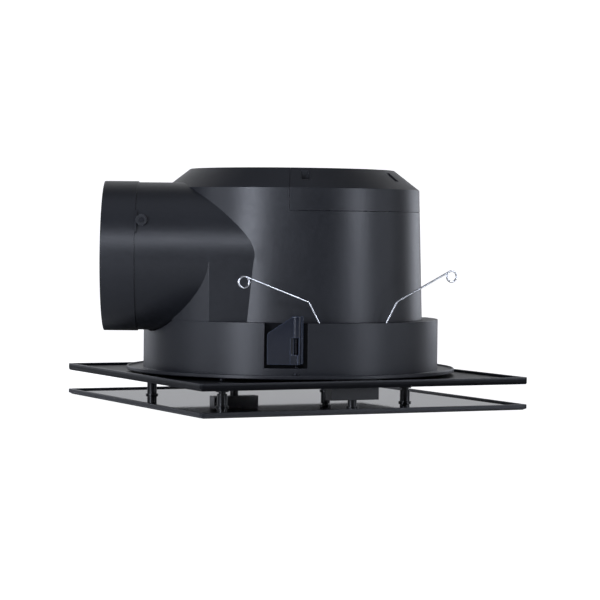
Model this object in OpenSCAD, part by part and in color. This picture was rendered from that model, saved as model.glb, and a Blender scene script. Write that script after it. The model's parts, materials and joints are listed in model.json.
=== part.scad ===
// Side-ducted ceiling extractor fan with a square clip-on fascia.
// Millimetres, +Z up. The origin is on the fan axis at the underside of the lower panel.
// The duct spigot points along -X. The fascia is turned about the fan axis by fascia_yaw.

/* [Fan body] */
// Outside radius of the collar that goes through the ceiling hole
collar_r = 151; // [140:0.5:182]
// Height of the collar above the fascia frame
collar_h = 53.5; // [50:0.5:65]
// Step inwards from the collar's outside to the foot of the body wall
body_step = 16.4; // [15:0.1:20]
// Height of the lip round the collar's flange
lip_h = 4; // [3:0.5:12]
// Height of the fan body above the collar, without its chamfer
body_h = 131.5; // [130:0.5:170]
// Taper of the body wall over its height, on the radius
body_draft = 4; // [1:0.5:6]
// Height of the chamfer round the top
chamfer_h = 20; // [12:0.5:24]
// Width of the chamfer round the top
chamfer_w = 26; // [18:1:34]
// Wall thickness of the mouldings
wall = 3; // [2.6:0.1:3.4]

/* [Duct spigot] */
// Outside radius of the duct spigot
spigot_r = 75; // [60:0.5:77]
// Length of the spigot beyond the collar
spigot_reach = 36.5; // [34:0.5:70]
// Sideways offset of the spigot axis from the fan axis
spigot_offset = 53.5; // [46:0.5:56]
// Height of the flap pivot above the spigot axis
pivot_rise = 36; // [30:0.5:40]

/* [Fascia] */
// Side of the square fascia
fascia_side = 355; // [350:1:430]
// Turn of the fascia about the fan axis, in degrees
fascia_yaw = 25.5; // [23:0.5:28]
// Gap between the two panels
panel_gap = 20; // [17:0.5:30]
// Thickness of the upper frame
frame_t = 7; // [6:0.5:9]
// Thickness of the lower panel at its rim
tray_t = 5.5; // [5:0.1:8]
// Radius of the air opening in the upper frame
frame_hole_r = 96; // [86:1:98]

/* [Clamps and springs] */
// Direction of the first ceiling clamp, in degrees from +X
clamp_angle = -92; // [-96:1:-90]
// Width of a clamp wing
wing_w = 35.5; // [30:0.5:36]
// Height of a clamp wing at its screw
wing_h = 46.5; // [38:0.5:47]
// Wire radius of the fascia springs
wire_r = 1; // [0.8:0.1:1.1]
// Half length of each spring slot in the collar ledge
slot_half = 40; // [38.5:0.5:40]

/* [Impeller] */
// Outside radius of the impeller
impeller_r = 95; // [88:1:98]
// Number of impeller blades
blade_count = 24; // [16:1:30]

/* [Hidden] */
big_fn = 180;
mid_fn = 72;
low_fn = 32;

// Heights
tray_floor_z = tray_t - 3.3;
glass_t = 1.8;
glass_top = tray_floor_z + glass_t;
frame_z0 = tray_t + panel_gap;
frame_z1 = frame_z0 + frame_t;
frame_floor = frame_z1 - 2.5;
collar_z0 = frame_z1 + 0.5;
collar_z1 = collar_z0 + collar_h;
housing_z0 = collar_z1 - 25.5;
chamfer_z = collar_z1 + body_h;
top_z = chamfer_z + chamfer_h;
seam_z = chamfer_z - 22.5;
spigot_z = collar_z1 + 62.5;
pivot_z = spigot_z + pivot_rise;

// Radii
low_r = collar_r - body_step;
body_r = low_r - body_draft;
top_r = body_r - chamfer_w;
bore_r = spigot_r - wall;
spigot_x0 = -collar_r - spigot_reach;
pivot_x = -collar_r + 3.5;
flap_r = bore_r - 3.5;
root_r = spigot_r - 1;
hub_y = min(flap_r - 10, sqrt(bore_r * bore_r - (pivot_rise + 4.2) * (pivot_rise + 4.2)) - 1);
boss_y = sqrt(flap_r * flap_r - (pivot_rise - 5.5) * (pivot_rise - 5.5)) + 0.8;
collar_in = collar_r - wall;
flange_r = collar_r + 17;

// Inside the body
floor_t = wall;
plate_z = seam_z - 9;
post_r = top_r - 4.6;
comp_floor = seam_z - 3;
comp_r = 62;
comp_a0 = -91.5;
comp_a1 = 58.5;
inlet_r = 75;
blade_z0 = housing_z0 + 16;
blade_z1 = housing_z0 + 74.5;
can_r = 40;
can_z0 = blade_z1 + 7.5;
shaft_r = 4;
shaft_z0 = blade_z1 - 22.5;
half = fascia_side / 2;

// Clamps: the wing hangs on a screw to the right of the pocket's middle
pocket_half = wing_w / 2 + 3.2;
pocket_z0 = collar_z0 + 9.8;
screw_x = 10;
screw_y = -(collar_r - 3.5);
screw_r = 2;
wing_z0 = pocket_z0 + 3.7;
wing_x0 = -wing_w / 2 - 0.4;
back_y = -(collar_r - 10.3);

// Springs: plane distance from the axis, and the shape of one arm in its plane
arm_y = collar_r - 11.7;
spring_post_y = min(arm_y, half - 11);
coil_z = frame_z1 + 0.5;
coil_r = 6.4;
arm_pitch = 1.2;
ledge_x = slot_half - 2.5;
ledge_h = collar_z1 - coil_z;
arm_lean = acos(coil_r / sqrt(ledge_x * ledge_x + ledge_h * ledge_h)) - atan2(ledge_h, ledge_x);
elbow_h = 20.5;
arm_reach_left = 67.3;
arm_reach_right = 60;
arm_rise_left = 24.6;
arm_rise_right = 30.2;

// Standoff places in the fascia
post_xy = [[-120.5, -98], [-120.5, 80], [81, -98], [81, 80]];

// A tube standing on z0
module ring(r_out, r_in, z0, z1, n = mid_fn) {
    translate([0, 0, z0])
        difference() {
            cylinder(r = r_out, h = z1 - z0, $fn = n);
            translate([0, 0, -1])
                cylinder(r = r_in, h = z1 - z0 + 2, $fn = n);
        }
}

// A box given by its low and high corners
module box(lo, hi) {
    translate(lo)
        cube([hi[0] - lo[0], hi[1] - lo[1], hi[2] - lo[2]]);
}

// A rod along X between two places
module rod_x(r, x0, x1, n = mid_fn) {
    translate([x0, 0, 0])
        rotate([0, 90, 0])
            cylinder(r = r, h = x1 - x0, $fn = n);
}

// A rod along Y between two places
module rod_y(r, y0, y1, n = mid_fn) {
    translate([0, y0, 0])
        rotate([-90, 0, 0])
            cylinder(r = r, h = y1 - y0, $fn = n);
}

// A cross-head screw with its head's seat at z = 0, shank down
module screw_down(head_r, head_h, shank_r, length) {
    difference() {
        union() {
            cylinder(r = head_r, h = head_h, $fn = low_fn);
            translate([0, 0, -length])
                cylinder(r = shank_r, h = length + 0.2, $fn = low_fn);
        }
        for (a = [0, 90])
            rotate([0, 0, a])
                box([-head_r * 0.6, -0.4, head_h * 0.45], [head_r * 0.6, 0.4, head_h + 1]);
    }
}

// The same screw with its head below the seat, shank up
module screw_up(head_r, head_h, shank_r, length) {
    mirror([0, 0, 1])
        screw_down(head_r, head_h, shank_r, length);
}

// ---- Housing --------------------------------------------------------------

module body_outer() {
    rotate_extrude($fn = big_fn)
        polygon([
            [0, housing_z0], [low_r, housing_z0], [low_r, collar_z1],
            [body_r, chamfer_z], [top_r, top_z], [0, top_z]
        ]);
}

module body_inner() {
    rotate_extrude($fn = big_fn)
        polygon([
            [0, housing_z0 + floor_t], [low_r - wall, housing_z0 + floor_t],
            [low_r - wall, collar_z1], [body_r - wall, chamfer_z - 1.2],
            [top_r - 1.2, top_z - wall], [0, top_z - wall]
        ]);
}

module at_spigot() {
    translate([0, -spigot_offset, spigot_z])
        children();
}

// The skirt under the spigot: a flat-sided box cut to the collar's radius
module skirt_block(inset, z0) {
    intersection() {
        translate([0, 0, z0])
            cylinder(r = collar_r - inset, h = spigot_z - z0 - inset, $fn = big_fn);
        box([-collar_r - 5, -spigot_offset - root_r + 0.1 + inset, z0 - 1],
            [-1, -spigot_offset + root_r - 0.1 - inset, spigot_z + 1]);
    }
}

// The zone that the terminal cover fills, as a profile swept between two angles
module cover_zone(a0, a1, r_in, z_low, extra) {
    rotate([0, 0, a0])
        rotate_extrude(angle = a1 - a0, $fn = big_fn)
            polygon([
                [r_in, z_low], [low_r + extra, z_low], [low_r + extra, chamfer_z + extra],
                [top_r + extra, top_z + extra], [r_in, top_z + extra]
            ]);
}

// Tray under the terminal cover: a floor and three walls, trimmed to the body
module comp_tray() {
    intersection() {
        union() {
            rotate([0, 0, comp_a0 - 0.5])
                rotate_extrude(angle = comp_a1 - comp_a0 + 1, $fn = big_fn)
                    polygon([
                        [comp_r - 2.5, comp_floor], [low_r, comp_floor], [low_r, seam_z],
                        [comp_r, seam_z], [comp_r, top_z], [comp_r - 2.5, top_z]
                    ]);
            rotate([0, 0, comp_a0])
                box([comp_r - 1.2, -2.5, comp_floor + 1], [low_r, 0.6, top_z]);
            rotate([0, 0, comp_a1])
                box([comp_r - 1.2, -0.6, comp_floor + 1], [low_r, 2.5, top_z]);
        }
        rotate_extrude($fn = big_fn)
            polygon([
                [0, comp_floor - 1], [body_r - 0.8, comp_floor - 1],
                [body_r - 0.8, chamfer_z - 0.6], [top_r - 0.4, top_z - 0.8], [0, top_z - 0.8]
            ]);
    }
}

// Angles of the two cover screws
cover_screw_a = [-84, -29];
cover_screw_r = 115;
notch_z = chamfer_z + 2;

module housing() {
    color([0.06, 0.06, 0.07])
    difference() {
        union() {
            difference() {
                union() {
                    body_outer();
                    skirt_block(0, collar_z1);
                    at_spigot() rod_x(root_r, spigot_x0 + 5, -20, big_fn);
                    at_spigot() rod_x(spigot_r, spigot_x0, pivot_x - 6.5, big_fn);
                }
                body_inner();
                difference() {
                    skirt_block(wall, collar_z1 - 1);
                    at_spigot() rod_x(root_r, spigot_x0, 0, big_fn);
                    cylinder(r = low_r - 0.5, h = top_z, $fn = big_fn);
                }
            }
            comp_tray();
            // Posts that carry the motor plate
            for (p = [[90, top_z - 1.5], [142, top_z - 1.5], [-20, comp_floor + 1]])
                rotate([0, 0, p[0]])
                    translate([post_r, 0, plate_z + 3])
                        cylinder(r = 5, h = p[1] - plate_z - 3, $fn = low_fn);
            // Lugs under the collar's ledge
            for (a = [-30, 75, -110])
                rotate([0, 0, a])
                    box([low_r - 1.5, -7, collar_z1 - 6.1], [collar_in - 1.8, 7, collar_z1 - 3.1]);
            // Bosses and rib of the flap pivot
            at_spigot()
                translate([pivot_x, 0, pivot_rise])
                    for (m = [0, 1])
                        mirror([0, m, 0])
                            rod_y(5.5, boss_y, spigot_r - 6.2, low_fn);
            at_spigot()
                intersection() {
                    difference() {
                        rod_x(spigot_r + 1.6, pivot_x - 6.5, pivot_x - 4.5, big_fn);
                        rod_x(root_r - 0.6, pivot_x - 8, pivot_x - 3, big_fn);
                    }
                    box([pivot_x - 9, -spigot_r - 5, pivot_rise - 12], [pivot_x, 0, pivot_rise + 9]);
                }
        }
        // Duct bore
        at_spigot() rod_x(bore_r, spigot_x0 - 1, pivot_x - 12, big_fn);
        difference() {
            at_spigot() rod_x(bore_r, pivot_x - 13, -38, big_fn);
            at_spigot()
                translate([pivot_x, 0, pivot_rise])
                    for (m = [0, 1])
                        mirror([0, m, 0])
                            rod_y(5.5, boss_y, spigot_r, low_fn);
            // Seats that the closed flap rests against
            at_spigot()
                difference() {
                    union() {
                        intersection() {
                            rod_x(bore_r + 1, pivot_x + 1.1, pivot_x + 3.1, big_fn);
                            box([pivot_x, -99, -99], [pivot_x + 9, 99, pivot_rise - 7]);
                        }
                        intersection() {
                            rod_x(bore_r + 1, pivot_x - 3.1, pivot_x - 1.1, big_fn);
                            box([pivot_x - 9, -99, pivot_rise + 7], [pivot_x, 99, 99]);
                        }
                    }
                    rod_x(bore_r - 6, pivot_x - 9, pivot_x + 9, big_fn);
                }
        }
        // Pivot holes
        at_spigot()
            translate([pivot_x, 0, pivot_rise])
                rod_y(2.5, -spigot_r, spigot_r, low_fn);
        // Inlet opening in the floor
        translate([0, 0, housing_z0 - 1])
            cylinder(r = inlet_r + 11, h = floor_t + 2, $fn = big_fn);
        // Opening under the terminal cover
        cover_zone(comp_a0, comp_a1, comp_r, seam_z, 4);
        // Screw holes
        for (a = [-30, 75, -110])
            rotate([0, 0, a])
                translate([low_r + 5, 0, collar_z1 - 8])
                    cylinder(r = 2.1, h = 6, $fn = low_fn);
        for (a = [45, 135, 225, 315])
            rotate([0, 0, a])
                translate([inlet_r + 22, 0, housing_z0 - 1])
                    cylinder(r = 1.7, h = floor_t + 2, $fn = low_fn);
        for (a = [90, 142, -20])
            rotate([0, 0, a])
                translate([post_r, 0, plate_z + 2])
                    cylinder(r = 1.7, h = 6.4, $fn = low_fn);
    }
    // Posts for the cover screws stand on the tray floor
    color([0.06, 0.06, 0.07])
    for (a = cover_screw_a)
        rotate([0, 0, a])
            translate([cover_screw_r, 0, 0])
                ring(4, 1.7, seam_z - 0.5, notch_z - 2.7, low_fn);
}

module scroll() {
    color([0.12, 0.12, 0.13])
    difference() {
        translate([5, -5, 0])
            ring(low_r - 16.6, low_r - 18.6, housing_z0 + floor_t, plate_z, big_fn);
        box([-200, -spigot_offset - bore_r + 2, 0], [-30, -spigot_offset + bore_r - 2, 300]);
    }
}

// ---- Collar ---------------------------------------------------------------

// Puts a clamp's parts at its place, with the outside towards local -Y
module at_clamp(k) {
    rotate([0, 0, clamp_angle + 90 + 120 * k])
        children();
}

// Puts a spring's parts at its place, with the outside towards local -Y
module at_spring(k) {
    rotate([0, 0, fascia_yaw + 180 * k])
        children();
}

module collar() {
    color([0.06, 0.06, 0.07])
    difference() {
        union() {
            // Flange with its lip, wall and ledge
            rotate_extrude($fn = big_fn)
                polygon([
                    [collar_in, collar_z0], [flange_r - 0.6, collar_z0], [flange_r, collar_z0 + 0.6],
                    [flange_r, collar_z0 + lip_h - 0.6], [flange_r - 0.6, collar_z0 + lip_h],
                    [flange_r - 2, collar_z0 + lip_h], [flange_r - 2, collar_z0 + 2.2],
                    [collar_r, collar_z0 + 2.2], [collar_r, collar_z1], [low_r + 0.3, collar_z1],
                    [low_r + 0.3, collar_z1 - 3], [collar_in, collar_z1 - 3]
                ]);
            for (k = [0, 1, 2])
                intersection() {
                    at_clamp(k)
                        box([-pocket_half - 2.8, -collar_r, collar_z0 + 1.2],
                            [pocket_half + 2.8, back_y + 2, collar_z1 - 1]);
                    translate([0, 0, collar_z0])
                        cylinder(r = collar_r - 0.6, h = collar_h, $fn = big_fn);
                }
        }
        for (k = [0, 1, 2])
            at_clamp(k) {
                box([-pocket_half, -collar_r - 2, pocket_z0], [pocket_half, back_y, collar_z1 + 1]);
                translate([screw_x, screw_y, collar_z0 - 1])
                    cylinder(r = screw_r + 0.05, h = 20, $fn = low_fn);
                translate([screw_x, screw_y, collar_z0 - 1])
                    cylinder(r = 4.5, h = 6, $fn = low_fn);
            }
        // Slots for the fascia springs
        for (k = [0, 1])
            at_spring(k)
                box([-slot_half, -arm_y - 2.6, collar_z1 - 4], [slot_half, -arm_y + 3.4, collar_z1 + 1]);
        // Saddle under the spigot
        at_spigot() rod_x(spigot_r + 0.2, -collar_r - 10, -60, big_fn);
        for (a = [-30, 75, -110])
            rotate([0, 0, a])
                translate([low_r + 5, 0, collar_z1 - 4])
                    cylinder(r = 1.7, h = 3.2, $fn = low_fn);
    }
}

module collar_screws() {
    color([0.6, 0.6, 0.62])
    for (a = [-30, 75, -110])
        rotate([0, 0, a])
            translate([low_r + 5, 0, collar_z1 - 6.1])
                screw_up(3.5, 2.4, 1.7, 5.2);
}

// ---- Inlet ----------------------------------------------------------------

module inlet_ring() {
    z0 = housing_z0;
    color([0.1, 0.1, 0.11])
    difference() {
        rotate_extrude($fn = big_fn)
            polygon([
                [inlet_r + 29, z0 - 3], [inlet_r + 29, z0], [inlet_r + 10, z0], [inlet_r + 4.5, z0 + 6],
                [inlet_r + 2, z0 + 12], [inlet_r + 2, z0 + 20], [inlet_r, z0 + 20], [inlet_r, z0 + 11.5],
                [inlet_r + 2.6, z0 + 5], [inlet_r + 8.5, z0 - 3]
            ]);
        for (a = [45, 135, 225, 315])
            rotate([0, 0, a])
                translate([inlet_r + 22, 0, z0 - 4])
                    cylinder(r = 2, h = 5, $fn = low_fn);
    }
}

module inlet_ring_screws() {
    color([0.6, 0.6, 0.62])
    for (a = [45, 135, 225, 315])
        rotate([0, 0, a])
            translate([inlet_r + 22, 0, housing_z0 - 3])
                screw_up(3.4, 2.3, 1.7, 5.6);
}

// ---- Terminal compartment -------------------------------------------------

module terminal_cover() {
    color([0.06, 0.06, 0.07])
    difference() {
        union() {
            difference() {
                rotate([0, 0, comp_a0 + 0.15])
                    rotate_extrude(angle = comp_a1 - comp_a0 - 0.3, $fn = big_fn)
                        polygon([
                            [comp_r + 0.3, top_z], [top_r, top_z], [body_r, chamfer_z],
                            [body_r + body_draft * 22.2 / body_h, seam_z + 0.3],
                            [body_r - 2.5 + body_draft * 22.2 / body_h, seam_z + 0.3],
                            [body_r - 2.5, chamfer_z - 1], [top_r - 1, top_z - 2.5],
                            [comp_r + 0.3, top_z - 2.5]
                        ]);
                for (a = cover_screw_a)
                    rotate([0, 0, a])
                        box([cover_screw_r - 6.5, -4, notch_z], [cover_screw_r + 5, 4, top_z + 5]);
            }
            // Cups round the screw notches
            intersection() {
                for (a = cover_screw_a)
                    rotate([0, 0, a])
                        difference() {
                            box([cover_screw_r - 8.5, -6, notch_z - 2.5], [cover_screw_r + 7, 6, top_z]);
                            box([cover_screw_r - 6.5, -4, notch_z], [cover_screw_r + 5, 4, top_z + 5]);
                        }
                rotate_extrude($fn = big_fn)
                    polygon([
                        [0, seam_z], [body_r - 0.6, seam_z], [body_r - 0.6, chamfer_z - 0.2],
                        [top_r - 0.4, top_z - 0.5], [0, top_z - 0.5]
                    ]);
            }
        }
        for (a = cover_screw_a)
            rotate([0, 0, a])
                translate([cover_screw_r, 0, seam_z])
                    cylinder(r = 2, h = 30, $fn = low_fn);
        // Cable entry
        rotate([0, 0, 40])
            translate([0, 0, seam_z + 11])
                rod_x(5.6, body_r - 30.6, body_r + 29.4, low_fn);
    }
}

module terminal_cover_screws() {
    color([0.25, 0.25, 0.27])
    for (a = cover_screw_a)
        rotate([0, 0, a])
            translate([cover_screw_r, 0, notch_z])
                screw_down(3.4, 2.6, 1.7, 20);
}

module terminal_block() {
    color([0.85, 0.85, 0.8])
    rotate([0, 0, 8])
        translate([92, 0, seam_z])
            difference() {
                union() {
                    box([-9, -24, 0], [9, 24, 8]);
                    box([-4.5, -24, 7], [4.5, 24, 14]);
                    for (y = [-24, -12, 0, 12, 24])
                        box([-9, y - 0.8, 7], [9, y + 0.8, 14]);
                }
                for (y = [-18, -6, 6, 18])
                    translate([0, y, 6])
                        cylinder(r = 2.6, h = 20, $fn = low_fn);
            }
}

module terminal_screws() {
    color([0.75, 0.65, 0.35])
    rotate([0, 0, 8])
        translate([92, 0, seam_z])
            for (y = [-18, -6, 6, 18])
                translate([0, y, 8])
                    screw_down(2.4, 2.4, 1.4, 1.9);
}

module cable_gland() {
    color([0.08, 0.08, 0.09])
    rotate([0, 0, 40])
        translate([0, 0, seam_z + 11])
            difference() {
                union() {
                    rod_x(5.5, body_r - 10, body_r + 8, low_fn);
                    rod_x(9, body_r + 1.2, body_r + 7, 6);
                    rod_x(7, body_r + 6.8, body_r + 11, low_fn);
                    rod_x(8, body_r - 9, body_r - 4, 6);
                }
                rod_x(4, body_r - 20, body_r + 20, low_fn);
            }
}

module capacitor() {
    color([0.8, 0.8, 0.78])
    rotate([0, 0, -52])
        translate([88, 0, seam_z + 13.5])
            union() {
                rod_y(12.5, -24, 22, mid_fn);
                rod_y(10.5, 21.8, 25, mid_fn);
                for (x = [-4, 4])
                    translate([x, 0, 0])
                        box([-0.4, 24, -2.5], [0.4, 32, 2.5]);
            }
}

module capacitor_clip() {
    color([0.7, 0.7, 0.72])
    rotate([0, 0, -52])
        translate([88, 0, seam_z + 13.5])
            difference() {
                union() {
                    rod_y(13.5, -5, 5, mid_fn);
                    box([-20, -5, -13.5], [20, 5, -12.3]);
                }
                rod_y(12.5, -7, 7, mid_fn);
                for (x = [-17, 17])
                    translate([x, 0, -14])
                        cylinder(r = 1.6, h = 4, $fn = low_fn);
            }
}

// ---- Motor and impeller ---------------------------------------------------

module motor_plate() {
    color([0.65, 0.66, 0.68])
    difference() {
        union() {
            translate([0, 0, plate_z])
                cylinder(r = low_r - 8.6, h = 3, $fn = big_fn);
            translate([0, 0, plate_z - 8])
                cylinder(r = 12, h = 9, $fn = mid_fn);
        }
        translate([0, 0, plate_z - 9])
            cylinder(r = 9, h = 8.5, $fn = mid_fn);
        for (a = [90, 142, -20])
            rotate([0, 0, a])
                translate([post_r, 0, plate_z - 1])
                    cylinder(r = 2, h = 5, $fn = low_fn);
        for (a = [30, 150, 270])
            rotate([0, 0, a])
                translate([can_r + 4, 0, plate_z - 1])
                    cylinder(r = 1.5, h = 3, $fn = low_fn);
    }
}

module motor_plate_screws() {
    color([0.6, 0.6, 0.62])
    for (a = [90, 142, -20])
        rotate([0, 0, a])
            translate([post_r, 0, plate_z])
                screw_up(3.5, 2.4, 1.7, 8);
}

module motor_can() {
    color([0.7, 0.71, 0.73])
    difference() {
        union() {
            translate([0, 0, can_z0])
                cylinder(r = can_r, h = plate_z - can_z0, $fn = mid_fn);
            translate([0, 0, plate_z - 2])
                cylinder(r = can_r + 8, h = 2, $fn = mid_fn);
        }
        difference() {
            translate([0, 0, can_z0 + 2])
                cylinder(r = can_r - 2, h = plate_z - can_z0, $fn = mid_fn);
            translate([0, 0, can_z0])
                cylinder(r = 12, h = 8, $fn = mid_fn);
        }
        translate([0, 0, can_z0 + 2])
            cylinder(r = 9, h = 10, $fn = mid_fn);
        translate([0, 0, can_z0 - 1])
            cylinder(r = 6, h = 5, $fn = mid_fn);
        for (a = [30, 150, 270])
            rotate([0, 0, a])
                translate([can_r + 4, 0, plate_z - 3])
                    cylinder(r = 1.8, h = 5, $fn = low_fn);
    }
}

module motor_screws() {
    color([0.6, 0.6, 0.62])
    for (a = [30, 150, 270])
        rotate([0, 0, a])
            translate([can_r + 4, 0, plate_z - 2])
                screw_up(3, 2, 1.5, 3.8);
}

module motor_stator() {
    color([0.45, 0.46, 0.48])
    difference() {
        ring(can_r - 2, 24.5, can_z0 + 13, plate_z - 11, mid_fn);
        for (a = [0 : 30 : 330])
            rotate([0, 0, a])
                box([27, -1.6, can_z0], [33, 1.6, plate_z]);
    }
}

module motor_windings() {
    color([0.72, 0.4, 0.2])
    union() {
        ring(35, 26, can_z0 + 9, can_z0 + 12.9, mid_fn);
        ring(35, 26, plate_z - 10.9, plate_z - 8.5, mid_fn);
    }
}

module motor_rotor() {
    color([0.5, 0.5, 0.52])
    ring(24.1, shaft_r, can_z0 + 13, plate_z - 11, mid_fn);
}

module motor_shaft() {
    color([0.78, 0.79, 0.8])
    translate([0, 0, shaft_z0])
        cylinder(r = shaft_r, h = plate_z - 1 - shaft_z0, $fn = mid_fn);
}

module upper_bearing() {
    color([0.8, 0.8, 0.82])
    ring(9, shaft_r + 0.05, plate_z - 7.5, plate_z - 0.6, mid_fn);
}

module lower_bearing() {
    color([0.8, 0.8, 0.82])
    ring(9, shaft_r + 0.05, can_z0 + 2, can_z0 + 8, mid_fn);
}

module impeller() {
    color([0.1, 0.1, 0.11])
    difference() {
        union() {
            translate([0, 0, blade_z1 - 0.5])
                cylinder(r = impeller_r, h = 2.5, $fn = big_fn);
            ring(impeller_r, impeller_r - 14, blade_z0 - 2, blade_z0 + 0.5, big_fn);
            translate([0, 0, shaft_z0 + 6])
                cylinder(r = 10, h = blade_z1 - shaft_z0 - 2, $fn = mid_fn);
            for (i = [0 : blade_count - 1])
                rotate([0, 0, i * 360 / blade_count])
                    translate([impeller_r - 13.5, 0, blade_z0])
                        rotate([0, 0, -28])
                            box([0, -0.8, 0], [14, 0.8, blade_z1 - blade_z0]);
        }
        translate([0, 0, shaft_z0 - 1])
            cylinder(r = shaft_r, h = 60, $fn = mid_fn);
    }
}

module impeller_nut() {
    color([0.75, 0.7, 0.5])
    translate([0, 0, shaft_z0 + 1])
        difference() {
            cylinder(r = 8, h = 5, $fn = 6);
            translate([0, 0, -1])
                cylinder(r = shaft_r, h = 8, $fn = mid_fn);
        }
}

// ---- Backdraught flap -----------------------------------------------------

module damper_flap() {
    color([0.14, 0.14, 0.15])
    at_spigot()
        difference() {
            union() {
                rod_x(flap_r, pivot_x - 0.9, pivot_x + 0.9, big_fn);
                translate([pivot_x, 0, pivot_rise])
                    rod_y(4.2, -hub_y, hub_y, low_fn);
            }
            translate([pivot_x, 0, pivot_rise])
                rod_y(2.55, -flap_r, flap_r, low_fn);
        }
}

module damper_axle() {
    color([0.75, 0.76, 0.78])
    at_spigot()
        translate([pivot_x, 0, pivot_rise])
            rod_y(2.5, -spigot_r + 5.4, spigot_r - 5.4, low_fn);
}

// ---- Ceiling clamps -------------------------------------------------------

module clamp_screw(k) {
    color([0.7, 0.7, 0.72])
    at_clamp(k)
        translate([screw_x, screw_y, collar_z0 + 4.9])
            screw_up(4, 3, screw_r, collar_h - 1.5);
}

module clamp_nut(k) {
    color([0.75, 0.65, 0.35])
    at_clamp(k)
        translate([screw_x, screw_y, 0])
            ring(3.6, screw_r + 0.05, wing_z0, wing_z0 + 8, low_fn);
}

module clamp_wing(k) {
    color([0.03, 0.04, 0.06])
    at_clamp(k)
        difference() {
            union() {
                // Flat wing with its slanted top
                translate([0, screw_y + 2, 0])
                    rotate([90, 0, 0])
                        linear_extrude(height = 6.2)
                            polygon([
                                [wing_x0, wing_z0], [screw_x, wing_z0], [screw_x, wing_z0 + wing_h],
                                [screw_x - 4.5, wing_z0 + wing_h - 0.6],
                                [wing_x0 + 2, wing_z0 + wing_h - 15.2],
                                [wing_x0, wing_z0 + wing_h - 17.5]
                            ]);
                // Hub round the screw
                translate([screw_x, screw_y, wing_z0])
                    cylinder(r = 4.9, h = wing_h, $fn = mid_fn);
                // Edge rib
                box([screw_x + 4.2, screw_y - 1.5, wing_z0 + 1],
                    [screw_x + 6.4, screw_y + 1.5, wing_z0 + wing_h]);
            }
            translate([screw_x, screw_y, wing_z0 - 1])
                cylinder(r = 3.65, h = 9.1, $fn = mid_fn);
            translate([screw_x, screw_y, wing_z0])
                cylinder(r = 2.4, h = wing_h + 5, $fn = mid_fn);
            // Slot that shows the screw
            box([screw_x - 5.8, screw_y - 9, wing_z0 + 9.5], [screw_x + 2.6, screw_y - 0.8, wing_z0 + 26]);
            box([screw_x - 5.8, screw_y - 9, wing_z0 - 1], [screw_x + 1.5, screw_y - 3.95, wing_z0 + 10]);
        }
}

module clamp_screw_a() { clamp_screw(0); }
module clamp_screw_b() { clamp_screw(1); }
module clamp_screw_c() { clamp_screw(2); }
module clamp_nut_a() { clamp_nut(0); }
module clamp_nut_b() { clamp_nut(1); }
module clamp_nut_c() { clamp_nut(2); }
module clamp_wing_a() { clamp_wing(0); }
module clamp_wing_b() { clamp_wing(1); }
module clamp_wing_c() { clamp_wing(2); }

// ---- Fascia ---------------------------------------------------------------

// Square slab with its lower edge chamfered all round
module slab(h, z0, z1, cw, ch) {
    intersection() {
        rotate([90, 0, 0])
            translate([0, 0, -h - 5])
                linear_extrude(height = 2 * h + 10)
                    polygon([
                        [-h + cw, z0], [h - cw, z0], [h, z0 + ch], [h, z1], [-h, z1], [-h, z0 + ch]
                    ]);
        rotate([90, 0, 90])
            translate([0, 0, -h - 5])
                linear_extrude(height = 2 * h + 10)
                    polygon([
                        [-h + cw, z0], [h - cw, z0], [h, z0 + ch], [h, z1], [-h, z1], [-h, z0 + ch]
                    ]);
        // Slightly eased corners
        linear_extrude(height = z1 + 20)
            polygon([
                [h - 4, -h], [h - 1.2, -h + 1.2], [h, -h + 4],
                [h, h - 4], [h - 1.2, h - 1.2], [h - 4, h],
                [-h + 4, h], [-h + 1.2, h - 1.2], [-h, h - 4],
                [-h, -h + 4], [-h + 1.2, -h + 1.2], [-h + 4, -h]
            ]);
    }
}

module fascia_frame() {
    color([0.06, 0.06, 0.07])
    rotate([0, 0, fascia_yaw])
        difference() {
            slab(half, frame_z0, frame_z1, 2, 3);
            box([-half + 4, -half + 4, frame_floor], [half - 4, half - 4, frame_z1 + 5]);
            translate([0, 0, frame_z0 - 1])
                cylinder(r = frame_hole_r, h = 20, $fn = big_fn);
            for (p = post_xy)
                translate([p[0], p[1], frame_z0 - 1])
                    cylinder(r = 2, h = 20, $fn = low_fn);
            for (k = [0, 1])
                rotate([0, 0, 180 * k])
                    box([-26.2, -arm_y - 6.6, frame_z0 - 1], [26.2, -arm_y + 6.6, frame_z1 + 5]);
        }
}

module panel_tray() {
    color([0.06, 0.06, 0.07])
    rotate([0, 0, fascia_yaw])
        difference() {
            slab(half, 0, tray_t, 4, 2.2);
            box([-half + 4, -half + 4, tray_floor_z], [half - 4, half - 4, tray_t + 5]);
        }
}

module panel_glass() {
    color([0.02, 0.02, 0.025])
    rotate([0, 0, fascia_yaw])
        difference() {
            box([-half + 4.3, -half + 4.3, tray_floor_z], [half - 4.3, half - 4.3, glass_top]);
            for (p = post_xy)
                translate([p[0], p[1], 0])
                    cylinder(r = 5.2, h = 20, $fn = low_fn);
            for (s = [-1, 1])
                translate([0, s * spring_post_y, 0])
                    cylinder(r = 4.7, h = 20, $fn = low_fn);
        }
}

module standoffs() {
    color([0.05, 0.05, 0.055])
    rotate([0, 0, fascia_yaw])
        for (p = post_xy)
            translate([p[0], p[1], 0])
                difference() {
                    union() {
                        translate([0, 0, tray_floor_z])
                            cylinder(r = 5, h = frame_z0 - 8.5 - tray_floor_z, $fn = low_fn);
                        translate([0, 0, glass_top])
                            cylinder(r = 6.4, h = 1.4, $fn = low_fn);
                        translate([0, 0, frame_z0 - 10])
                            cylinder(r = 3.6, h = 9, $fn = low_fn);
                        translate([0, 0, frame_z0 - 6.5])
                            cylinder(r = 6.4, h = 6.5, $fn = low_fn);
                    }
                    translate([0, 0, frame_z0 - 14])
                        cylinder(r = 1.7, h = 20, $fn = low_fn);
                }
}

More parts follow.
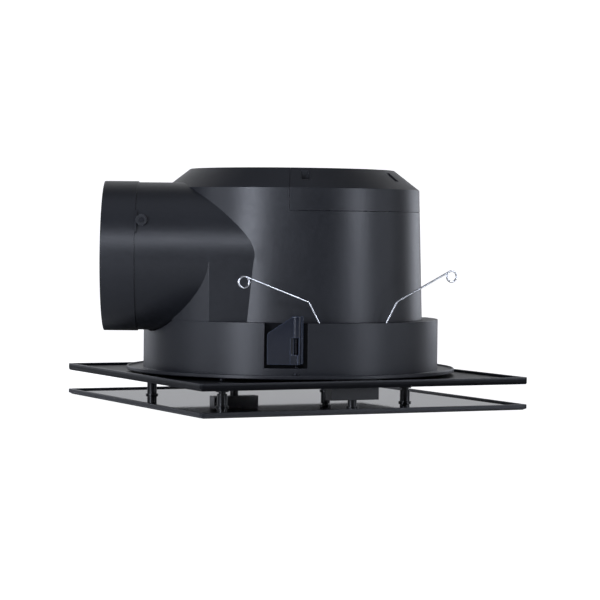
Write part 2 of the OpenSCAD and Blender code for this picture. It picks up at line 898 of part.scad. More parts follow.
module standoff_screws() {
    color([0.25, 0.25, 0.27])
    rotate([0, 0, fascia_yaw])
        for (p = post_xy)
            translate([p[0], p[1], frame_floor])
                screw_down(3.6, 2, 1.7, frame_t + 8);
}

module spring_holders() {
    color([0.05, 0.05, 0.055])
    for (k = [0, 1])
        at_spring(k)
            union() {
                difference() {
                    box([-26, -arm_y - 6.4, frame_z0 - 14], [26, -arm_y + 6.4, frame_z1 - 0.2]);
                    box([-24, -arm_y - 5, frame_z0 - 12], [24, -arm_y + 5, frame_z1 + 5]);
                }
                // Cheeks and the stud that carries the coils
                for (s = [-1, 1])
                    box([-9, -arm_y + s * 5.7 - 0.7, frame_z0 - 12.5],
                        [9, -arm_y + s * 5.7 + 0.7, coil_z + 7]);
                translate([0, 0, coil_z])
                    rod_y(coil_r - 1.4, -arm_y - 5.8, -arm_y + 5.8, mid_fn);
                // Post down to the tray
                translate([0, -spring_post_y, tray_floor_z])
                    cylinder(r = 4.5, h = frame_z0 - 13 - tray_floor_z, $fn = low_fn);
                translate([0, -spring_post_y, glass_top])
                    cylinder(r = 6, h = 1.4, $fn = low_fn);
            }
}

// One wire leg between two places in the spring's plane
module wire(p, q) {
    dx = q[0] - p[0];
    dz = q[1] - p[1];
    translate([p[0], 0, p[1]])
        rotate([0, atan2(dx, dz), 0])
            cylinder(r = wire_r, h = sqrt(dx * dx + dz * dz), $fn = low_fn);
}

module bend(p) {
    translate([p[0], 0, p[1]])
        sphere(r = wire_r + 0.05, $fn = low_fn);
}

// The right-hand arm in the plane y = 0; the coil's turns are one close-wound sleeve
module spring_arm(reach, rise) {
    p0 = [coil_r * cos(arm_lean), coil_z - coil_r * sin(arm_lean)];
    p2 = [ledge_x + elbow_h * tan(arm_lean), collar_z1 + elbow_h];
    p3 = [p2[0] + reach, p2[1] + rise];
    wire(p0, p2);
    bend(p2);
    wire(p2, p3);
    bend(p3);
    // End loop
    translate([p3[0] + 1.6, 0, p3[1] - 5.2])
        rotate([90, 0, 0])
            rotate([0, 0, -160])
                rotate_extrude(angle = 268, $fn = 48)
                    translate([5.44, 0])
                        circle(r = wire_r, $fn = 24);
}

module spring_half(k, side) {
    color([0.8, 0.81, 0.83])
    at_spring(k)
        translate([0, -arm_y - side * arm_pitch, 0])
            union() {
                if (side > 0)
                    mirror([1, 0, 0]) spring_arm(arm_reach_left, arm_rise_left);
                else
                    spring_arm(arm_reach_right, arm_rise_right);
                translate([0, side > 0 ? -2.2 : 2.2, coil_z])
                    difference() {
                        rod_y(coil_r + 1, side > 0 ? -1.2 : -3.1, side > 0 ? 3.1 : 1.2, mid_fn);
                        rod_y(coil_r - 1, -6, 6, mid_fn);
                    }
            }
}

module spring_a_left() { spring_half(0, 1); }
module spring_a_right() { spring_half(0, -1); }
module spring_b_left() { spring_half(1, 1); }
module spring_b_right() { spring_half(1, -1); }

housing();
scroll();
collar();
collar_screws();
inlet_ring();
inlet_ring_screws();
terminal_cover();
terminal_cover_screws();
terminal_block();
terminal_screws();
cable_gland();
capacitor();
capacitor_clip();
motor_plate();
motor_plate_screws();
motor_can();
motor_screws();
motor_stator();
motor_windings();
motor_rotor();
motor_shaft();
upper_bearing();
lower_bearing();
impeller();
impeller_nut();
damper_flap();
damper_axle();
clamp_screw_a();
clamp_screw_b();
clamp_screw_c();
clamp_nut_a();
clamp_nut_b();
clamp_nut_c();
clamp_wing_a();
clamp_wing_b();
clamp_wing_c();
fascia_frame();
panel_tray();
panel_glass();
standoffs();
standoff_screws();
spring_holders();
spring_a_left();
spring_a_right();
spring_b_left();
spring_b_right();
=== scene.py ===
"""Looks, light and camera for the side-ducted ceiling extractor fan. Metres, +Z up, in the CAD's frame."""
import json
import math

import bmesh
import bpy
import numpy as np
from mathutils import Matrix, Vector


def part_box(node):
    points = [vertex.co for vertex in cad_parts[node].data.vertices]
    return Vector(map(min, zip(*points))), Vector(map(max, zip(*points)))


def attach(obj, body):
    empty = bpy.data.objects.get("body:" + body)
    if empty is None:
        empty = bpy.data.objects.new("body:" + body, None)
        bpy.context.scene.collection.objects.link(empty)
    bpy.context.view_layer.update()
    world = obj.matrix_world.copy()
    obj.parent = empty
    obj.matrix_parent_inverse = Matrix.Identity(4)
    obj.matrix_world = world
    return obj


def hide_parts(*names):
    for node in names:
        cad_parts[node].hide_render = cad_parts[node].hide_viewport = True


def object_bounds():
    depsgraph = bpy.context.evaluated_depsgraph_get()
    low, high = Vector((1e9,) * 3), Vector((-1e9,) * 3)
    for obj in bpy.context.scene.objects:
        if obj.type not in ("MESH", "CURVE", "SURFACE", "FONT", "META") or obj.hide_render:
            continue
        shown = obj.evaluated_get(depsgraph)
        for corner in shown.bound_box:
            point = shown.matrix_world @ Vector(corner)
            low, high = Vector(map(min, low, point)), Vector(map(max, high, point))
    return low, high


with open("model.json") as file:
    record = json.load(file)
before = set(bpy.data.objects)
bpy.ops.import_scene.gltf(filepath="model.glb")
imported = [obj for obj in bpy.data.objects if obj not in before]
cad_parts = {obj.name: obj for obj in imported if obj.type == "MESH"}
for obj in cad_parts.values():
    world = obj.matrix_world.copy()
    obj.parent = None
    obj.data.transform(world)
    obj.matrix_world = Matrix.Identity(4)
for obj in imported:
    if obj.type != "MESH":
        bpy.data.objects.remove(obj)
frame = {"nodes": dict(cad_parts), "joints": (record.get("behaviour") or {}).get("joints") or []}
cad_lo, cad_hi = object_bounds()
nodes = frame["nodes"]
joints = {j["name"]: j for j in frame["joints"]}
MM = 0.001
scene = bpy.context.scene


# ---- Materials -------------------------------------------------------------

class Graph:
    """A few short cuts for building a node material."""

    def __init__(self, name):
        self.mat = bpy.data.materials.new(name)
        self.mat.use_nodes = True
        self.t = self.mat.node_tree
        self.bsdf = self.t.nodes["Principled BSDF"]
        coord = self.t.nodes.new("ShaderNodeTexCoord")
        self.obj = coord.outputs["Object"]

    def new(self, kind, **props):
        n = self.t.nodes.new(kind)
        for k, v in props.items():
            setattr(n, k, v)
        return n

    def link(self, a, b):
        self.t.links.new(a, b)

    def put(self, socket, value):
        if isinstance(value, bpy.types.NodeSocket):
            self.link(value, socket)
        else:
            socket.default_value = value

    def mapped(self, scale=(1, 1, 1), rot=(0, 0, 0)):
        m = self.new("ShaderNodeMapping")
        m.inputs["Scale"].default_value = scale
        m.inputs["Rotation"].default_value = rot
        self.link(self.obj, m.inputs["Vector"])
        return m.outputs["Vector"]

    def noise(self, scale, detail=3.0, rough=0.55, vector=None):
        n = self.new("ShaderNodeTexNoise")
        n.inputs["Scale"].default_value = scale
        n.inputs["Detail"].default_value = detail
        n.inputs["Roughness"].default_value = rough
        self.link(vector or self.obj, n.inputs["Vector"])
        return n.outputs["Fac"]

    def cells(self, scale, vector=None, feature="F1"):
        n = self.new("ShaderNodeTexVoronoi", feature=feature)
        n.inputs["Scale"].default_value = scale
        self.link(vector or self.obj, n.inputs["Vector"])
        return n

    def ramp(self, value, lo, hi, out_lo, out_hi, smooth=False):
        n = self.new("ShaderNodeMapRange")
        if smooth:
            n.interpolation_type = "SMOOTHSTEP"
        self.link(value, n.inputs["Value"])
        for k, v in (("From Min", lo), ("From Max", hi), ("To Min", out_lo), ("To Max", out_hi)):
            n.inputs[k].default_value = v
        return n.outputs["Result"]

    def mix(self, fac, a, b):
        n = self.new("ShaderNodeMix", data_type="RGBA")
        self.put(n.inputs["Factor"], fac)
        self.put(n.inputs["A"], a if isinstance(a, bpy.types.NodeSocket) else (*a, 1))
        self.put(n.inputs["B"], b if isinstance(b, bpy.types.NodeSocket) else (*b, 1))
        return n.outputs["Result"]

    def math(self, op, a, b=None):
        n = self.new("ShaderNodeMath", operation=op)
        self.put(n.inputs[0], a)
        if b is not None:
            self.put(n.inputs[1], b)
        return n.outputs[0]

    def round_edges(self, radius):
        n = self.new("ShaderNodeBevel", samples=4)
        n.inputs["Radius"].default_value = radius
        return n.outputs["Normal"]

    def edge_mask(self, radius):
        """1 close to a sharp edge, 0 on the flats."""
        g = self.new("ShaderNodeNewGeometry")
        n = self.new("ShaderNodeVectorMath", operation="DOT_PRODUCT")
        self.link(self.round_edges(radius), n.inputs[0])
        self.link(g.outputs["Normal"], n.inputs[1])
        return self.ramp(n.outputs["Value"], 0.995, 0.88, 0.0, 1.0)

    def bump(self, height, distance, strength=1.0, normal=None):
        n = self.new("ShaderNodeBump")
        n.inputs["Distance"].default_value = distance
        n.inputs["Strength"].default_value = strength
        self.link(height, n.inputs["Height"])
        if normal is not None:
            self.link(normal, n.inputs["Normal"])
        return n.outputs["Normal"]

    def finish(self, **sockets):
        names = {"color": "Base Color", "rough": "Roughness", "metal": "Metallic", "normal": "Normal",
                 "ior": "IOR", "coat": "Coat Weight", "coat_rough": "Coat Roughness",
                 "spec": "Specular IOR Level", "aniso": "Anisotropic"}
        for k, v in sockets.items():
            s = self.bsdf.inputs[names[k]]
            if isinstance(v, tuple):
                s.default_value = (*v, 1)
            else:
                self.put(s, v)
        return self.mat


def tint(c, k):
    return tuple(min(1.0, x * k) for x in c)


def moulded(name, color, rough, grain=0.035, edge=0.0007, spread=0.05, spec=0.5, sparkle=0.9,
            speckle=0.35, recess_shade=None):
    """Injection-moulded plastic with a fine spark-eroded grain, and slightly polished edges, which also get
    a painted highlight: a paler colour along them.

    recess_shade names the recesses that get painted shade, a darker colour and weaker specular: ("r", lo,
    hi) is a distance from the fan axis and ("z", lo, hi) a height, fully shaded at lo and plain at hi.
    """
    g = Graph(name)
    cloud = g.noise(9.0, 4.0)
    mottle = g.noise(240.0, 3.0)
    grain_a = g.noise(1900.0, 2.0, 0.65)
    grain_b = g.cells(1250.0).outputs["Distance"]
    mask = g.edge_mask(edge * 1.6)
    base = g.mix(g.ramp(cloud, 0.35, 0.65, 0.0, 1.0), tint(color, 0.9), tint(color, 1.1))
    base = g.mix(g.ramp(mottle, 0.4, 0.62, 0.0, speckle), base, tint(color, 1.28))
    # Painted highlight: the colour is paler along the edges.
    base = g.mix(g.math("MULTIPLY", mask, 0.3), base, tint(color, 1.9))
    # Painted shade in the recesses: the colour darkens and the specular drops towards lo.
    if recess_shade:
        axes = g.new("ShaderNodeSeparateXYZ")
        g.link(g.obj, axes.inputs["Vector"])
        where = axes.outputs["Z"]
        if recess_shade[0] == "r":
            sq = [g.math("MULTIPLY", axes.outputs[i], axes.outputs[i]) for i in (0, 1)]
            where = g.math("SQRT", g.math("ADD", *sq))
        unshaded_part = g.ramp(where, recess_shade[1], recess_shade[2], 0.0, 1.0)
        base = g.mix(unshaded_part, tint(color, 0.45), base)
        spec = g.math("MULTIPLY", unshaded_part, spec * 0.8)
        spec = g.math("ADD", spec, 0.1)
    r = g.ramp(cloud, 0.3, 0.7, rough - spread * 0.5, rough + spread * 0.5)
    r = g.math("ADD", r, g.ramp(mottle, 0.3, 0.7, -spread * 0.4, spread * 0.4))
    r = g.math("SUBTRACT", r, g.math("MULTIPLY", mask, 0.07))
    h = g.math("ADD", grain_a, g.math("MULTIPLY", grain_b, sparkle))
    n = g.bump(h, grain * MM, 0.8, g.round_edges(edge))
    n = g.bump(cloud, 0.12 * MM, 0.6, n)
    return g.finish(color=base, rough=r, normal=n, spec=spec)


def glossy(name, color, rough=0.1, wave=0.08, coat=0.4, edge=0.0006, scratches=True, painted_edge_highlight=None):
    """Polished plastic or lacquered sheet: faint waviness, hairline marks and, with painted_edge_highlight,
    a painted highlight: a paler colour along the edges.
    """
    g = Graph(name)
    cloud = g.noise(14.0, 3.0)
    fine = g.noise(600.0, 2.0)
    hair = g.noise(60.0, 6.0, 0.75, g.mapped((0.6, 9.0, 3.0), (0.2, 0.1, 0.6)))
    base = g.mix(g.ramp(cloud, 0.35, 0.65, 0.0, 1.0), tint(color, 0.85), tint(color, 1.2))
    # Painted highlight along the edges: the colour is mixed toward a paler tint there.
    if painted_edge_highlight:
        base = g.mix(g.math("MULTIPLY", g.edge_mask(edge * 1.5), 0.8), base, painted_edge_highlight)
    r = g.ramp(fine, 0.3, 0.7, rough * 0.8, rough * 1.2)
    if scratches:
        r = g.math("ADD", r, g.ramp(hair, 0.62, 0.74, 0.0, rough * 0.8))
    n = g.bump(cloud, wave * MM, 0.7, g.round_edges(edge))
    n = g.bump(fine, 0.004 * MM, 0.5, n)
    return g.finish(color=base, rough=r, normal=n, coat=coat, coat_rough=0.05)


def metal(name, color, rough, grain=0.01, edge=0.0003, stretch=(1, 1, 1), spangle=0.0, dull=0.25):
    """Plated, drawn or ground metal; stretch draws the grain out along the lay of the tool."""
    g = Graph(name)
    lay = g.noise(900.0, 4.0, 0.7, g.mapped(stretch))
    cloud = g.noise(35.0, 4.0)
    base = g.mix(g.ramp(cloud, 0.35, 0.7, 0.0, dull), color, tint(color, 0.55))
    base = g.mix(g.ramp(lay, 0.35, 0.7, 0.0, 0.3), base, tint(color, 1.15))
    r = g.math("ADD", g.ramp(lay, 0.3, 0.7, rough * 0.8, rough * 1.2), g.ramp(cloud, 0.3, 0.7, -0.03, 0.05))
    if spangle:
        cell = g.cells(140.0).outputs["Color"]
        tone = g.new("ShaderNodeSeparateColor")
        g.link(cell, tone.inputs["Color"])
        base = g.mix(g.ramp(tone.outputs[0], 0.0, 1.0, 0.0, spangle), base, tint(color, 0.72))
        r = g.math("ADD", r, g.ramp(tone.outputs[1], 0.0, 1.0, -0.05, 0.08))
    n = g.bump(lay, grain * MM, 0.8, g.round_edges(edge))
    return g.finish(color=base, rough=r, normal=n, metal=1.0)


def windings(name):
    """Varnished copper wire lying in turns round the stator."""
    g = Graph(name)
    w = g.new("ShaderNodeTexWave", wave_type="RINGS", rings_direction="Z", wave_profile="SIN")
    w.inputs["Scale"].default_value = 330.0
    w.inputs["Distortion"].default_value = 1.4
    w.inputs["Detail"].default_value = 3.0
    w.inputs["Detail Scale"].default_value = 0.6
    g.link(g.obj, w.inputs["Vector"])
    turns = w.outputs["Fac"]
    base = g.mix(turns, (0.16, 0.055, 0.018), (0.55, 0.24, 0.09))
    base = g.mix(g.ramp(g.noise(45.0), 0.45, 0.7, 0.0, 0.5), base, (0.30, 0.10, 0.03))
    return g.finish(color=base, rough=g.ramp(turns, 0, 1, 0.5, 0.28), metal=0.6,
                    normal=g.bump(turns, 0.25 * MM, 0.9), coat=0.6, coat_rough=0.2)


def laminated(name):
    """Stack of thin steel sheets, seen on edge."""
    g = Graph(name)
    w = g.new("ShaderNodeTexWave", wave_type="BANDS", bands_direction="Z", wave_profile="SAW")
    w.inputs["Scale"].default_value = 320.0
    w.inputs["Distortion"].default_value = 0.4
    g.link(g.obj, w.inputs["Vector"])
    sheet = w.outputs["Fac"]
    cloud = g.noise(50.0, 4.0)
    base = g.mix(sheet, (0.16, 0.165, 0.18), (0.36, 0.37, 0.39))
    base = g.mix(g.ramp(cloud, 0.5, 0.75, 0.0, 0.4), base, (0.20, 0.13, 0.09))
    return g.finish(color=base, rough=g.ramp(cloud, 0.3, 0.7, 0.38, 0.55), metal=0.9,
                    normal=g.bump(sheet, 0.08 * MM, 0.9, g.round_edges(0.0003)))


BLACK = (0.0112, 0.0122, 0.0155)
body_black = moulded("satin_black_body", BLACK, 0.36)
cover_black = moulded("satin_black_cover", tint(BLACK, 0.92), 0.38, grain=0.04)
# Painted shade in the collar's pocket, towards the fan axis.
collar_black = moulded("satin_black_collar", tint(BLACK, 1.04), 0.37, grain=0.03,
                       recess_shade=("r", 0.1440, 0.1503))
panel_black = moulded("satin_black_panel", tint(BLACK, 0.75), 0.34, grain=0.018, edge=0.0006)
# Painted shade on the frame's recess floor, low down.
frame_black = moulded("satin_black_frame", tint(BLACK, 0.75), 0.34, grain=0.018, edge=0.0006,
                      recess_shade=("z", 0.0302, 0.0320))
inner_black = moulded("inner_black", (0.03, 0.03, 0.032), 0.5, grain=0.03)
gland_black = moulded("nylon_black", (0.015, 0.015, 0.017), 0.38, grain=0.01, edge=0.0004)
blade_black = moulded("impeller_black", (0.026, 0.026, 0.029), 0.42, grain=0.02, edge=0.0003)
flap_black = moulded("flap_black", (0.035, 0.035, 0.038), 0.5, grain=0.03)
post_black = moulded("post_black", (0.007, 0.007, 0.008), 0.3, grain=0.004, edge=0.0005, speckle=0.1)
ivory = moulded("ivory_nylon", (0.66, 0.63, 0.54), 0.42, grain=0.015, edge=0.0004)
white_can = moulded("capacitor_case", (0.62, 0.62, 0.59), 0.36, grain=0.012, edge=0.0005)
# The wings get a painted highlight, a pale blue-grey, along their edges.
wing_gloss = glossy("gloss_blue_black", (0.003, 0.0055, 0.014), 0.12, wave=0.04, coat=0.1, edge=0.0005,
                    painted_edge_highlight=(0.12, 0.15, 0.22))
sheet_gloss = glossy("gloss_black_sheet", (0.004, 0.004, 0.005), 0.035, wave=0.03, coat=0.0, edge=0.0004)
wire_steel = metal("bright_spring_wire", (0.74, 0.75, 0.77), 0.2, grain=0.006,
                   stretch=(1, 1, 0.12), dull=0.35)
zinc = metal("zinc_plate", (0.60, 0.61, 0.64), 0.34, grain=0.008, spangle=0.25)
zinc_sheet = metal("galvanised_sheet", (0.56, 0.57, 0.59), 0.38, grain=0.01, spangle=0.6)
ground = metal("ground_steel", (0.66, 0.67, 0.69), 0.2, grain=0.004, stretch=(1, 1, 8.0))
turned = metal("turned_aluminium", (0.60, 0.61, 0.62), 0.3, grain=0.012, stretch=(0.2, 0.2, 6.0))
brass = metal("brass", (0.62, 0.45, 0.19), 0.26, grain=0.006, stretch=(1, 1, 5.0))
worn_screw = metal("worn_steel", (0.22, 0.225, 0.24), 0.3, grain=0.01)
dark_screw = metal("blackened_steel", (0.032, 0.033, 0.037), 0.38, grain=0.01)
copper = windings("varnished_copper")
stack = laminated("stator_stack")

LOOKS = {
    "housing": body_black, "collar": collar_black, "terminal_cover": cover_black,
    "fascia_frame": frame_black, "panel_tray": panel_black, "panel_glass": sheet_gloss,
    "standoffs": post_black, "spring_holders": post_black, "cable_gland": gland_black,
    "scroll": inner_black, "inlet_ring": inner_black, "impeller": blade_black,
    "damper_flap": flap_black, "damper_axle": dark_screw, "terminal_block": ivory,
    "capacitor": white_can, "capacitor_clip": zinc, "motor_plate": zinc_sheet,
    "motor_can": zinc_sheet, "motor_stator": stack, "motor_windings": copper,
    "motor_rotor": turned, "motor_shaft": ground, "upper_bearing": ground,
    "lower_bearing": ground, "impeller_nut": brass, "terminal_screws": brass,
    "terminal_cover_screws": worn_screw, "standoff_screws": dark_screw, "collar_screws": zinc,
    "inlet_ring_screws": zinc, "motor_plate_screws": zinc, "motor_screws": zinc,
}
for k in "abc":
    LOOKS["clamp_wing_" + k] = wing_gloss
    LOOKS["clamp_nut_" + k] = brass
    LOOKS["clamp_screw_" + k] = dark_screw
for k in "ab":
    for s in ("left", "right"):
        LOOKS["spring_%s_%s" % (k, s)] = wire_steel


def dress(o, mat):
    o.data.materials.clear()
    o.data.materials.append(mat)


for name, o in nodes.items():
    dress(o, LOOKS[name])
    o.data.shade_smooth()
    o.data.set_sharp_from_angle(angle=math.radians(24))


# ---- Mesh helpers ----------------------------------------------------------

def make_object(name, verts, faces, mat, body, angle=35):
    me = bpy.data.meshes.new(name)
    me.from_pydata([tuple(v) for v in verts], [], faces)
    me.validate()
    bm = bmesh.new()
    bm.from_mesh(me)
    bmesh.ops.recalc_face_normals(bm, faces=bm.faces)
    bm.to_mesh(me)
    bm.free()
    me.shade_smooth()
    me.set_sharp_from_angle(angle=math.radians(angle))
    o = bpy.data.objects.new(name, me)
    scene.collection.objects.link(o)
    dress(o, mat)
    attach(o, body)
    return o


def tube(path, r, sides=14):
    """Vertices and faces of a round wire along a path, its ends domed."""
    p = np.array(path, float)
    seg = np.diff(p, axis=0)
    tan = np.vstack([seg[:1], seg[:-1] + seg[1:], seg[-1:]])
    tan /= np.linalg.norm(tan, axis=1)[:, None]
    up = np.cross(tan[0], (0.3, 0.5, 0.81))
    up /= np.linalg.norm(up)
    verts, rows = [], []
    # Each row: which point, how far beyond it and how wide, in wire radii
    start, end = [(0, -0.95, 0.35), (0, -0.7, 0.75)], [(-1, 0.7, 0.75), (-1, 0.95, 0.35)]
    for i, d, s in start + [(i, 0, 1) for i in range(len(p))] + end:
        t = tan[i]
        up = up - t * (up @ t)
        up /= np.linalg.norm(up)
        side = np.cross(t, up)
        c = p[i] + t * d * r
        row = []
        for k in range(sides):
            a = 2 * math.pi * k / sides
            row.append(len(verts))
            verts.append(c + (up * math.cos(a) + side * math.sin(a)) * r * s)
        rows.append(row)
    faces = []
    for a, b in zip(rows, rows[1:]):
        for k in range(sides):
            n = (k + 1) % sides
            faces.append((a[k], a[n], b[n], b[k]))
    faces.append(tuple(reversed(rows[0])))
    faces.append(tuple(rows[-1]))
    return verts, faces


def rounded(points, radius, steps=8):
    """A path through points with its inner corners rounded."""
    pts = [np.array(p, float) for p in points]
    out = [pts[0]]
    for a, b, c in zip(pts, pts[1:], pts[2:]):
        u, v = a - b, c - b
        lu, lv = np.linalg.norm(u), np.linalg.norm(v)
        u, v = u / lu, v / lv
        half = math.acos(max(-1, min(1, float(u @ v)))) / 2
        cut = min(radius / math.tan(half), lu * 0.45, lv * 0.45)
        p, q = b + u * cut, b + v * cut
        for i in range(steps + 1):
            t = i / steps
            out.append((1 - t) ** 2 * p + 2 * t * (1 - t) * b + t * t * q)
    out.append(pts[-1])
    return out


# ---- Fascia springs: real wire with its turns -------------------------------

WIRE_R, COIL_R, PITCH = 1.0, 6.4, 2.1
LOOP_R, LOOP_SWEEP = 5.44, 326
LEDGE_X, ELBOW_H = 37.5, 20.5
REACH = {True: 67.3, False: 60.0}
RISE = {True: 24.6, False: 30.2}


def spring_wire(name, left):
    j = joints[name + "_close"]
    pivot = Vector(j["pos_m"])
    out = Vector((pivot.x, pivot.y, 0)).normalized()      # away from the fan axis
    along = Vector((-out.y, out.x, 0))                    # local +X of the spring
    # The arm's shape: tangent to the coil, past the ledge's edge, an elbow, and the leg to the end loop
    ledge_h = (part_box("collar")[1].z - pivot.z) / MM
    lean = math.acos(COIL_R / math.hypot(LEDGE_X, ledge_h)) - math.atan2(ledge_h, LEDGE_X)
    p0 = np.array([COIL_R * math.cos(lean), -COIL_R * math.sin(lean)])
    p2 = np.array([LEDGE_X + ELBOW_H * math.tan(lean), ledge_h + ELBOW_H])
    p3 = p2 + (REACH[left], RISE[left])
    tip, loop_z = p3[0] + 1.6, p3[1] - 5.2                # the end loop's centre
    plane = -1.2 if left else 1.2                          # inwards is positive

    def at(px, pz, py):
        sgn = -1 if left else 1
        off = np.array(along) * px * sgn - np.array(out) * py + np.array((0, 0, pz))
        return np.array(pivot) + MM * off

    path = []
    turns = 1.15
    a1 = math.atan2(p0[1], p0[0])
    n = 44
    for i in range(n + 1):
        f = i / n
        ang = a1 - (1 - f) * turns * 2 * math.pi
        py = plane * (1 + (1 - f) * turns * PITCH / 1.2)
        path.append(at(COIL_R * math.cos(ang), COIL_R * math.sin(ang), py))
    leg = rounded([(p0[0], p0[1]), (p2[0], p2[1]), (p3[0], p3[1])], 3.2)
    legs = []
    for a, b in zip(leg, leg[1:]):
        m = max(1, int(np.linalg.norm(b - a) / 6))
        legs += [a + (b - a) * i / m for i in range(m)]
    path += [at(p[0], p[1], plane) for p in legs[1:]]
    for i in range(41):
        ang = math.radians(107 - LOOP_SWEEP * i / 40)
        path.append(at(tip + LOOP_R * math.cos(ang), loop_z + LOOP_R * math.sin(ang), plane))
    verts, faces = tube(path, WIRE_R * MM)
    o = make_object("wire_" + name, verts, faces, wire_steel, name)
    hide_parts(name)
    return o


for k in "ab":
    spring_wire("spring_%s_left" % k, True)
    spring_wire("spring_%s_right" % k, False)


# ---- Clamp screws: coarse thread and pan head with its cross ------------------

def clamp_screw(name):
    lo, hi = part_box(name)
    pivot = Vector(joints[name.replace("clamp_screw_", "clamp_") + "_screw_turn"]["pos_m"])
    top, bottom = hi.z, lo.z
    head_r, head_h, crest, root, pitch = 4.0 * MM, 3.0 * MM, 1.98 * MM, 1.55 * MM, 2.0 * MM
    seat = bottom + head_h
    around, step = 28, 0.22 * MM
    count = int((top - 1.2 * MM - seat) / step)
    verts, faces, rows = [], [], []

    def row(z, radius):
        ids = []
        for i in range(around):
            a = 2 * math.pi * i / around
            r = radius(a) if callable(radius) else radius
            ids.append(len(verts))
            verts.append((pivot.x + r * math.cos(a), pivot.y + r * math.sin(a), z))
        rows.append(ids)

    # Domed head, then the shank's thread, then a short point
    for z, r in ((0.0, 0.2), (0.05, 2.3), (0.35, 3.2), (0.9, 3.8),
                 (1.6, 4.0), (2.8, 4.0), (3.0, 3.9), (3.0, 1.75)):
        row(bottom + z * MM, r * MM)
    for i in range(count):
        z = seat + (i + 1) * step

        def thread(a, z=z):
            f = (z / pitch + a / (2 * math.pi)) % 1.0
            ridge = max(0.0, 1 - abs(f - 0.5) / 0.34)
            fade = min(1.0, (z - seat) / (2 * MM), (top - z) / (2 * MM))
            return root + (crest - root) * min(1.0, ridge * 1.35) * max(0.0, fade)
        row(z, thread)
    row(top - 0.8 * MM, 1.2 * MM)
    row(top, 0.3 * MM)
    for a, b in zip(rows, rows[1:]):
        for i in range(around):
            n = (i + 1) % around
            faces.append((a[i], a[n], b[n], b[i]))
    faces.append(tuple(reversed(rows[0])))
    faces.append(tuple(rows[-1]))
    o = make_object("thread_" + name, verts, faces, dark_screw, name, 50)
    # The cross is cut with two thin wedges
    bm = bmesh.new()
    for turn in (0, 90):
        m = Matrix.Translation((pivot.x, pivot.y, bottom)) @ Matrix.Rotation(math.radians(turn), 4, "Z")
        made = bmesh.ops.create_cube(bm, size=1.0)["verts"]
        for v in made:
            taper = 1.0 if v.co.z < 0 else 0.45
            v.co = m @ Vector((v.co.x * 4.6 * MM * taper, v.co.y * 0.95 * MM * taper, v.co.z * 3.4 * MM))
    me = bpy.data.meshes.new("cross_" + name)
    bm.to_mesh(me)
    bm.free()
    cutter = bpy.data.objects.new("cross_" + name, me)
    scene.collection.objects.link(cutter)
    mod = o.modifiers.new("cross", "BOOLEAN")
    mod.operation, mod.solver, mod.object, mod.use_self = "DIFFERENCE", "EXACT", cutter, True
    bpy.context.view_layer.update()
    cut = bpy.data.meshes.new_from_object(o.evaluated_get(bpy.context.evaluated_depsgraph_get()))
    o.modifiers.clear()
    o.data = cut
    bpy.data.objects.remove(cutter)
    cut.shade_smooth()
    cut.set_sharp_from_angle(angle=math.radians(50))
    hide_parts(name)


for k in "abc":
    clamp_screw("clamp_screw_" + k)


# ---- Camera ------------------------------------------------------------------

# Metres from the fan axis, aside of it and above the floor; then degrees, and millimetres of lens
DIST, SIDE, HEIGHT = 2.400, 0.00924, 0.17595
AZIMUTH, PITCH_DOWN, ROLL = math.radians(-0.538), math.radians(1.701), math.radians(0.598)
SENSOR, FOCAL = 36, 140.052
back = Vector((math.sin(AZIMUTH), -math.cos(AZIMUTH), 0))
right = Vector((math.cos(AZIMUTH), math.sin(AZIMUTH), 0))
look = -back * math.cos(PITCH_DOWN) - Vector((0, 0, 1)) * math.sin(PITCH_DOWN)
up = right.cross(look)
cam_x = right * math.cos(ROLL) + up * math.sin(ROLL)
cam_y = up * math.cos(ROLL) - right * math.sin(ROLL)
cam = bpy.data.objects.new("camera", bpy.data.cameras.new("camera"))
scene.collection.objects.link(cam)
cam.data.sensor_width = SENSOR
cam.data.lens = FOCAL
cam.data.clip_start, cam.data.clip_end = 0.05, 60
place = back * DIST + right * SIDE + Vector((0, 0, HEIGHT))
m = Matrix.Identity(4)
for i, axis in enumerate((cam_x, cam_y, -look)):
    m.col[i] = (*axis, 0)
m.col[3] = (*place, 1)
cam.matrix_world = m
scene.camera = cam


# ---- Floor, backdrop and light -------------------------------------------------

SEEN_GLOW = 0.88
FLOOR_GLOW = 0.02
BACK_GLOW = 0.28


def stage_mat(name, level):
    """White paper, lit from behind: the far part shines on the object, the near floor only a little."""
    g = Graph(name)
    soft = g.noise(1.5, 2.0)
    base = g.mix(soft, (level, level, level), (level * 0.985, level * 0.985, level * 0.99))
    axes = g.new("ShaderNodeSeparateXYZ")
    g.link(g.obj, axes.inputs["Vector"])
    far = g.ramp(axes.outputs["Y"], 0.7, 1.8, FLOOR_GLOW, BACK_GLOW, True)
    seen = g.new("ShaderNodeLightPath").outputs["Is Camera Ray"]
    g.bsdf.inputs["Emission Color"].default_value = (1, 1, 1, 1)
    g.link(g.math("MAXIMUM", g.math("MULTIPLY", seen, SEEN_GLOW), far), g.bsdf.inputs["Emission Strength"])
    return g.finish(color=base, rough=0.9, spec=0.0)


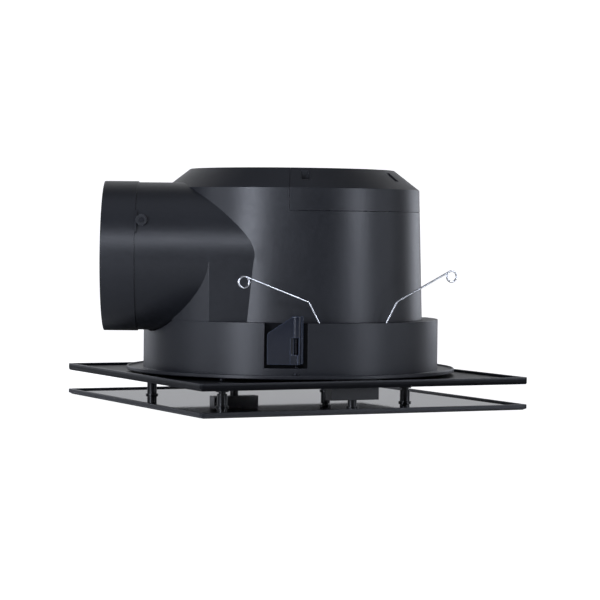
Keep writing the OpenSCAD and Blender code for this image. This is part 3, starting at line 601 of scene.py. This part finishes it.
def cyclorama():
    """A pale floor that curves up into a backdrop behind the object."""
    z0 = cad_lo.z - 0.0004
    half_width, front, bend, radius, tall, steps = 4.5, -4.0, 2.0, 1.2, 4.5, 16
    profile = [(front, z0), (bend, z0)]
    for i in range(1, steps + 1):
        a = math.pi / 2 * i / steps
        profile.append((bend + radius * math.sin(a), z0 + radius * (1 - math.cos(a))))
    profile.append((bend + radius, z0 + tall))
    verts = [(x, y, z) for y, z in profile for x in (-half_width, half_width)]
    faces = [(2 * i, 2 * i + 1, 2 * i + 3, 2 * i + 2) for i in range(len(profile) - 1)]
    me = bpy.data.meshes.new("floor")
    me.from_pydata(verts, [], faces)
    me.shade_smooth()
    o = bpy.data.objects.new("floor", me)
    scene.collection.objects.link(o)
    dress(o, stage_mat("pale_floor", 0.82))


cyclorama()


def softbox(name, azimuth, height, distance, width, tall, power, aim_z=0.13):
    """A rectangular soft light. Azimuth 0 is the camera's side, positive to the right."""
    a = math.radians(azimuth)
    p = Vector((math.sin(a) * distance, -math.cos(a) * distance, height))
    data = bpy.data.lights.new(name, "AREA")
    data.shape = "RECTANGLE"
    data.size, data.size_y = width, tall
    data.energy = power
    data.color = COOL
    o = bpy.data.objects.new(name, data)
    scene.collection.objects.link(o)
    o.location = p
    o.rotation_mode = "QUATERNION"
    o.rotation_quaternion = (p - Vector((0, 0, aim_z))).to_track_quat("Z", "Y")
    return o


COOL = (0.93, 0.985, 1.13)
# Name, azimuth in degrees, height, distance, width, tall and power
LIGHTS = [
    ("front", -4, 1.25, 2.4, 0.8, 0.4, 10.0),
    ("front_left", -36, 0.60, 2.2, 0.45, 1.1, 24.0),
    ("front_right", 59, 0.60, 2.2, 0.36, 1.1, 12.0),
    ("left", -70, 0.35, 2.0, 0.6, 1.1, 4.0),
    ("far_left", -140, 0.35, 2.0, 0.8, 1.1, 3.0),
    ("right", 90, 0.35, 2.0, 0.6, 1.1, 2.0),
    ("far_right", 140, 0.35, 2.0, 0.8, 1.1, 4.0),
    ("top", 10, 2.2, 0.4, 1.6, 1.6, 3.0),
]
for row in LIGHTS:
    softbox(*row)

world = bpy.data.worlds.new("studio")
scene.world = world
world.use_nodes = True
sky = world.node_tree.nodes["Background"]
sky.inputs["Color"].default_value = (1, 1, 1, 1)
sky.inputs["Strength"].default_value = 0.05

scene.view_settings.view_transform = "Standard"
